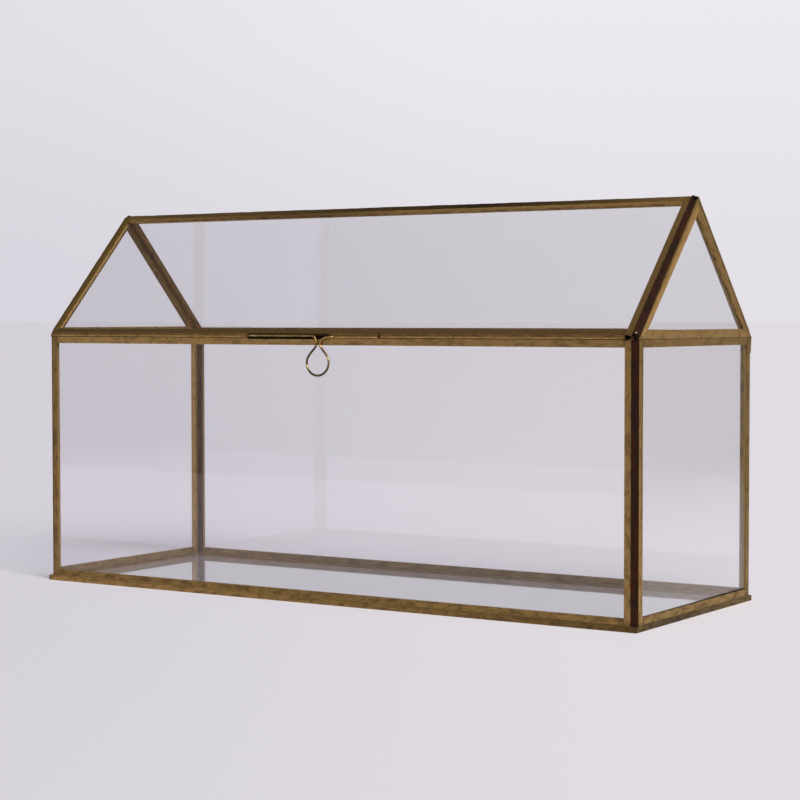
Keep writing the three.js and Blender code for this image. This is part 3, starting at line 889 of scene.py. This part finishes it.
# %% [markdown]
# ## Solder in the small joints
# Close up, the joints are what make the box look made by hand. A low fillet hides the line between
# the walls and the base, a thin dark bead along the top of the walls is painted shadow of the gap
# under the lid, the groove above the front rods is filled and toned dark as painted shade, black
# sheets in the slot round the pull's left arm are painted shadow, and knobs of solder sit where
# three seams meet. Each could be modelled as a blob, but a run of rings joined into one skin follows
# an edge better. Each is laid on the faces whose places the frame gives, so first those places are
# read.

# %% Places read from the frame
wall_low, wall_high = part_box("front_wall_channel_right")
wall_face, wall_foot, wall_top = wall_low[1], wall_low[2], wall_high[2]
side_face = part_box("right_wall_channel_front")[1][0]
base_low, base_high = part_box("base_channel_front")
rod_low, rod_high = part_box("eave_rod_right")
left_low, left_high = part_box("eave_rod_left")
pull_low, pull_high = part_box("pull_wire")
print("wall face:", round(wall_face / mm, 2), "wall top:", round(wall_top / mm, 2))


# %% Skin a run of rings, and leave it as solder
def skin(rings, number):
    shape = bmesh.new()
    stock, near_end = carry(shape, "stock", "float_vector"), carry(shape, "near_end")
    far, made = 0.0, []
    for index, ring in enumerate(rings):
        if index:
            far += (ring[0] - rings[index - 1][0]).length
        verts = []
        for corner, point in enumerate(ring):
            vert = shape.verts.new(point)
            vert[stock] = Vector((far + number * 0.617, (point - ring[0]).length, corner * 0.4 * mm))
            vert[near_end] = 1.0
            verts.append(vert)
        made.append(verts)
    return close_up(shape, made)


def places(start, end, spacing):
    count = max(2, round(abs(end - start) / spacing))
    return [start + (end - start) * step / count for step in range(count + 1)]


def leave_solder(shape, name, body="lid", shade=(1.0, 1.0), material=brushed_solder):
    return finish_piece(shape, name, material, body, (), shade)


print("places:", [round(value / mm, 1) for value in places(0.0, 5 * mm, 2 * mm)], "mm")

# %% Fillet between the walls and the base
fillet_rise = 0.35 * mm
fillet_drop = 0.45 * mm
fillet_buried = 0.5 * mm


def lay_fillet(name, start, end, out, face, base_face, number, shade=(0.75, 0.75, 0.9)):
    along = (end - start).normalized()
    rings = []
    for far in places(0.0, (end - start).length, 2.2 * mm):
        lump = wander(far / (4 * mm), number * 6.1)
        top = wall_foot + fillet_rise * (1.0 + 0.5 * lump)
        foot = base_high[2] - fillet_drop * (1.0 + 0.3 * lump)
        point = start + along * far
        rings.append([
            point + out * (face + 0.02 * mm) + Vector((0, 0, top)),
            point + out * (base_face * 0.4 + face * 0.6 + 0.03 * mm * lump) + Vector((0, 0, wall_foot)),
            point + out * (base_face - 0.02 * mm) + Vector((0, 0, foot)),
            point + out * (face - fillet_buried) + Vector((0, 0, foot)),
            point + out * (face - fillet_buried) + Vector((0, 0, top)),
        ])
    fillet = skin(rings, number)
    spread_tone_and_painted_light(fillet, along, shade)
    leave_solder(fillet, name, "box")


corner_in = 3.3 * mm
# The fillets' shades are their tone together with painted light and shade along them.
lay_fillet("front_foot_fillet", Vector((-side_face + corner_in, 0, 0)),
           Vector((side_face - corner_in, 0, 0)), Vector((0, -1, 0)), -wall_face, -base_low[1], 1,
           (1.3, 1.2, 0.9, 0.6, 0.9))
lay_fillet("right_foot_fillet", Vector((0, wall_face + corner_in, 0)), Vector((0, -wall_face - corner_in, 0)),
           Vector((1, 0, 0)), side_face, base_high[0], 2)
lay_fillet("back_foot_fillet", Vector((side_face - corner_in, 0, 0)), Vector((-side_face + corner_in, 0, 0)),
           Vector((0, 1, 0)), -wall_face, -base_low[1], 3)
lay_fillet("left_foot_fillet", Vector((0, -wall_face - corner_in, 0)), Vector((0, wall_face + corner_in, 0)),
           Vector((-1, 0, 0)), side_face, base_high[0], 4)
print("fillets:", 4)

# %% A dark line along the foot of the right pane
rail_low, rail_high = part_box("right_wall_channel_bottom")
pane_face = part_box("right_wall_pane")[1][0]
line_below_rail = 0.2 * mm


def run_pane_foot_line(name, thin, thick, number):
    rings = []
    for share in places(0.0, 1.0, 0.02):
        rise = (thin + (thick - thin) * share) * (1.0 + 0.35 * wander(share * 30.0, number * 3.1))
        y, top = rail_low[1] + (rail_high[1] - rail_low[1]) * share, rail_high[2]
        glass, lip = pane_face + 0.02 * mm, side_face - 0.15 * mm
        rings.append([Vector((glass, y, top + rise)), Vector((lip, y, top + 0.04 * mm)),
                      Vector((lip, y, top - line_below_rail)), Vector((glass, y, top - line_below_rail))])
    leave_solder(skin(rings, number), name, "box", material=dark_solder)


run_pane_foot_line("right_pane_foot_line", 0.1 * mm, 0.9 * mm, 27)
print("dark line on a rail", round((rail_high[1] - rail_low[1]) / mm, 1), "mm long")

# %% A thin dark bead along the top of the walls: painted shadow of the gap under the lid
rest_radius = 0.2 * mm
rest_in = 0.16 * mm
rest_height = wall_top + 0.1 * mm
long_rest, short_rest = side_face - 3 * mm, -wall_face - 3 * mm
front_rest, side_rest = wall_face + rest_in, side_face - rest_in
# Its dark tone is painted shadow.
for number, (name, start, end) in enumerate((
        ("front_rest_line", (-long_rest, front_rest), (long_rest, front_rest)),
        ("back_rest_line", (-long_rest, -front_rest), (long_rest, -front_rest)),
        ("right_rest_line", (side_rest, -short_rest), (side_rest, short_rest)),
        ("left_rest_line", (-side_rest, -short_rest), (-side_rest, short_rest))), 30):
    first, last = Vector((*start, rest_height)), Vector((*end, rest_height))
    run = sweep([first.lerp(last, share) for share in places(0.0, 1.0, 0.02)], rest_radius, 8, number)
    leave_solder(run, name, "box", (0.45, 0.8))
print("rest lines:", 4)

# %% Solder above the rods in the front groove
slope_foot = Vector((0.0, wall_face, 0.0))
slope_foot.z = min(vert.co.z for vert in frame["nodes"]["front_slope_channel_eave"].data.vertices
                   if vert.co.y < wall_face + 0.2 * mm)
down_slope = Vector((0.0, -slope_normal.z, slope_normal.y))


def fill_groove(name, start, end, number):
    rings = []
    for x in places(start, end, 3 * mm):
        lump = 0.06 * mm * wander(x / (5 * mm), number * 3.3)
        rings.append([
            Vector((x, slope_foot.y + 0.05 * mm + lump, slope_foot.z + 0.1 * mm)),
            Vector((x, slope_foot.y + 0.15 * mm + lump, rod_high[2] - 0.05 * mm)),
            Vector((x, slope_foot.y + 0.5 * mm, rod_high[2] - 0.1 * mm)),
            Vector((x, slope_foot.y + 1.2 * mm, rod_high[2] + 0.1 * mm)),
            Vector((x, slope_foot.y + 0.4 * mm, slope_foot.z + 0.1 * mm)),
        ])
    # The fill is toned dark: painted shade in the groove above the rods.
    leave_solder(skin(rings, number), name, shade=(0.7, 0.9))


slot_left, slot_right = left_high[0], pull_high[0]
fill_groove("left_groove_fill", left_low[0], slot_left, 5)
fill_groove("arm_groove_fill", loop_right, slot_right, 6)
fill_groove("right_groove_fill", rod_low[0], rod_high[0], 7)
print("foot of the slope:", [round(value / mm, 2) for value in slope_foot])

# %% Painted shadow: black sheets in the slot round the pull's left arm and at the open ends of the groove
shadow_lift = 0.05 * mm
shadow_skin = 0.04 * mm
sill_out = 0.09 * mm


# Black sheets that stand for the shadow in the slot and the groove.
def lay_painted_slot_shadow(name, start, end, over, under, rounded, number):
    rings = []
    for x in places(start, end, (end - start) / 10 if rounded else 4 * mm):
        share = (x - start) / (end - start) * 2 - 1
        reach = math.sqrt(max(0.1, 1 - share ** 4)) if rounded else 1.0
        up = slope_foot - down_slope * (over * reach) + slope_normal * shadow_lift
        brow = slope_foot + slope_normal * shadow_lift
        back = slope_foot + Vector((0.0, 1.5 * mm, -0.9 * mm))
        heel = Vector((0.0, wall_face + 1.3 * mm, wall_top + 0.3 * mm))
        sill = Vector((0.0, wall_face - sill_out, wall_top + 0.15 * mm))
        foot = Vector((0.0, wall_face - sill_out, wall_top - under * reach))
        line = [up, brow, back, heel, sill, foot]
        behind = [foot + Vector((0, shadow_skin, 0)), sill + Vector((0, shadow_skin, -shadow_skin)),
                  heel + Vector((0, 0.05 * mm, -0.05 * mm)), back + Vector((0, 0.06 * mm, 0)),
                  brow + Vector((0, 0.05 * mm, 0)), up - slope_normal * shadow_skin]
        rings.append([Vector((x, 0, 0)) + point for point in line + behind])
    leave_solder(skin(rings, number), name, material=black_solder_and_painted_shade)


lay_painted_slot_shadow("pull_slot_painted_shadow", pull_low[0] - 0.9 * mm, loop_right - 2.4 * mm, 0.8 * mm, 0.8 * mm, False, 8)
lay_painted_slot_shadow("pull_arm_shadow_tick", slot_right, rod_low[0], 0.35 * mm, 0.4 * mm, False, 9)
lay_painted_slot_shadow("open_groove_mouth_shadow", rod_high[0] - 1.7 * mm, rod_high[0] + 2.7 * mm,
             0.3 * mm, 0.4 * mm, True, 10)
print("blackened places:", 3)


# %% Knobs of solder where the seams meet
def set_knob(name, centre, size, material, number, shade):
    shape = bmesh.new()
    bmesh.ops.create_icosphere(shape, subdivisions=4, radius=1.0)
    stock, rim, near_end = carry_stock(shape)
    for vert in shape.verts:
        lump = noise.fractal(vert.co * 1.3 + Vector((number * 3.7, 0, 0)), 1.0, 2.0, 3)
        way = vert.co * (1.0 + 0.22 * lump)
        vert.co = centre + way * Vector(size) * mm
        vert[stock] = vert.co - centre + Vector((number * 0.3, 0, 0))
        vert[near_end] = 1.0
        vert[rim] = max(0.0, lump)
    leave_solder(shape, name, "lid", shade, material)


right_corner = Vector((side_face, wall_face, wall_top))
left_corner = Vector((-side_face, wall_face, wall_top))
set_knob("front_right_eave_knob", right_corner + Vector((-1.7, 1.3, 2.0)) * mm,
         (1.5, 1.9, 2.1), black_solder_and_painted_shade, 11, (1.6, 0.9))
# A small drop set far paler than the brass: a painted highlight on the eave corner.
set_knob("front_right_eave_glint_drop", right_corner + Vector((-1.0, 0.4, 4.1)) * mm,
         (0.6, 0.6, 0.55), brass_wire, 12, (2.2, 1.9))
set_knob("front_left_eave_knob", left_corner + Vector((3.6, 1.1, 1.2)) * mm,
         (1.0, 0.9, 1.1), brushed_solder, 13, (0.6, 0.95))
print("knobs at", [round(value / mm, 1) for value in right_corner], "mm")

# %% [markdown]
# ## Built-up gable edges
# The slopes were soldered on a little unevenly, so along each rafter the edge of the gable stands
# a little proud, and toward the peak more so. A thin lap of brushed solder on the outer face of
# each gable shows this. The solder also ran inward, over the glass beside the rear right rafter and
# below the ridge. At the right peak a black lump covers the end of the ridge.


# %% Where one rafter runs
def rafter(gable, front):
    low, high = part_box(gable + "_channel_" + ("front" if front else "back"))
    side = 1 if high[0] > 0 else -1
    foot = Vector((0.0, low[1] if front else high[1], low[2]))
    run = Vector((0.0, 0.0, high[2])) - foot
    along = run.normalized()
    proud = Vector((0.0, -along.z if front else along.z, abs(along.y)))
    return side, foot, along, proud, run.length


print("rafter:", round(rafter("right_gable", True)[4] / mm, 1), "mm long")

# %% Lap one rafter
lap_start = 5 * mm
lap_depth = 0.9 * mm
tucked = 0.3 * mm


def lap_rafter(name, gable, front, foot_width, peak_width, shade, number):
    side, foot, along, proud, total = rafter(gable, front)
    outer = Vector((side * (side_face + 0.06 * mm), 0.0, 0.0))
    inner = outer - Vector((side * lap_depth, 0.0, 0.0))
    rings = []
    for far in places(0.0, total, 3 * mm):
        share = far / total
        width = foot_width + (peak_width - foot_width) * share
        width *= (1.0 + 0.12 * wander(far / (6 * mm), number * 2.9)) * min(1.0, far / lap_start)
        reach = far + width * abs(proud.y) / abs(along.y) * share ** 8
        base = foot + along * far - proud * tucked
        tip = foot + along * reach + proud * width
        rings.append([outer + base, outer + tip, inner + tip - proud * tucked, inner + base])
    if front != (side > 0):
        rings = [list(reversed(ring)) for ring in rings]
    leave_solder(skin(rings, number), name, shade=shade)


# The laps' shades are their tone together with painted light and shade.
lap_rafter("right_front_rafter_lap", "right_gable", True, 0.3 * mm, 2.1 * mm, (1.5, 0.85), 21)
lap_rafter("right_back_rafter_lap", "right_gable", False, 1.0 * mm, 2.0 * mm, (1.15, 0.85), 22)
lap_rafter("left_front_rafter_lap", "left_gable", True, 1.2 * mm, 1.8 * mm, (0.7, 0.9), 23)
lap_rafter("left_back_rafter_lap", "left_gable", False, 0.6 * mm, 1.6 * mm, (0.7, 0.9), 24)
print("rafter laps:", 4)

# %% Widen the inner edge of the rear rafter toward the peak
channel_face = 4.5 * mm
pane_depth = 0.72 * mm


def widen_rafter(name, gable, foot_width, peak_width, shade, number):
    side, foot, along, proud, total = rafter(gable, False)
    outer = Vector((side * (side_face + 0.05 * mm), 0.0, 0.0))
    inner = outer - Vector((side * pane_depth, 0.0, 0.0))
    rings = []
    for share in places(0.1, 1.0, 0.025):
        width = foot_width + (peak_width - foot_width) * share
        width *= 1.0 + 0.15 * wander(share * 20.0, number * 2.9)
        ring = []
        for depth in (channel_face - tucked, channel_face + width):
            far = share * (total - depth * proud.y / abs(along.y))
            ring.append(foot + along * far - proud * depth)
        rings.append([outer + ring[0], outer + ring[1], inner + ring[1], inner + ring[0]])
    leave_solder(skin(rings, number), name, shade=shade)


widen_rafter("right_back_rafter_fill", "right_gable", 0.0, 2.3 * mm, (1.3, 0.88), 26)
print("rear rafter widened from", channel_face / mm, "mm")

# %% Solder drawn down over the glass below the ridge
ridge_points = [vert.co for vert in frame["nodes"]["front_slope_channel_ridge"].data.vertices]
outer_level = max(point.dot(slope_normal) for point in ridge_points)
lip_level = max(point.dot(down_slope) for point in ridge_points)
ridge_low, ridge_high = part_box("front_slope_channel_ridge")
ridge_fill = 1.1 * mm


def fill_ridge(name, front, number):
    side = 1.0 if front else -1.0
    rings = []
    for x in places(ridge_low[0], ridge_high[0], 4 * mm):
        tip = lip_level + ridge_fill * (1.0 + 0.2 * wander(x / (9 * mm), number * 4.3))
        ring = []
        for level, raised in ((lip_level - tucked, 0.04 * mm), (tip, 0.0), (tip, -pane_depth),
                              (lip_level - tucked, -pane_depth)):
            point = down_slope * level + slope_normal * (outer_level + raised)
            ring.append(Vector((x, point.y * side, point.z)))
        rings.append(ring if front else list(reversed(ring)))
    fill = skin(rings, number)
    spread_tone_and_painted_light(fill, Vector((1, 0, 0)), channel_patina_and_painted_light["front_slope_channel_ridge"])
    leave_solder(fill, name)


fill_ridge("front_ridge_fill", True, 28)
fill_ridge("back_ridge_fill", False, 29)
print("solder below the ridge:", round(ridge_fill / mm, 1), "mm")

# %% Lump at the right peak
peak = Vector((side_face, 0.0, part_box("right_gable_channel_front")[1][2]))
set_knob("right_peak_lump", peak + Vector((-2.0, 0.0, 2.0)) * mm,
         (2.1, 2.0, 1.15), black_solder_and_painted_shade, 25, (1.5, 0.9))
print("peak at", round(peak.z / mm, 2), "mm")

# %% [markdown]
# ## Ready for the render
# The view transform is Standard, so the colours come out as written.

# %% Finish
scene.view_settings.view_transform = "Standard"
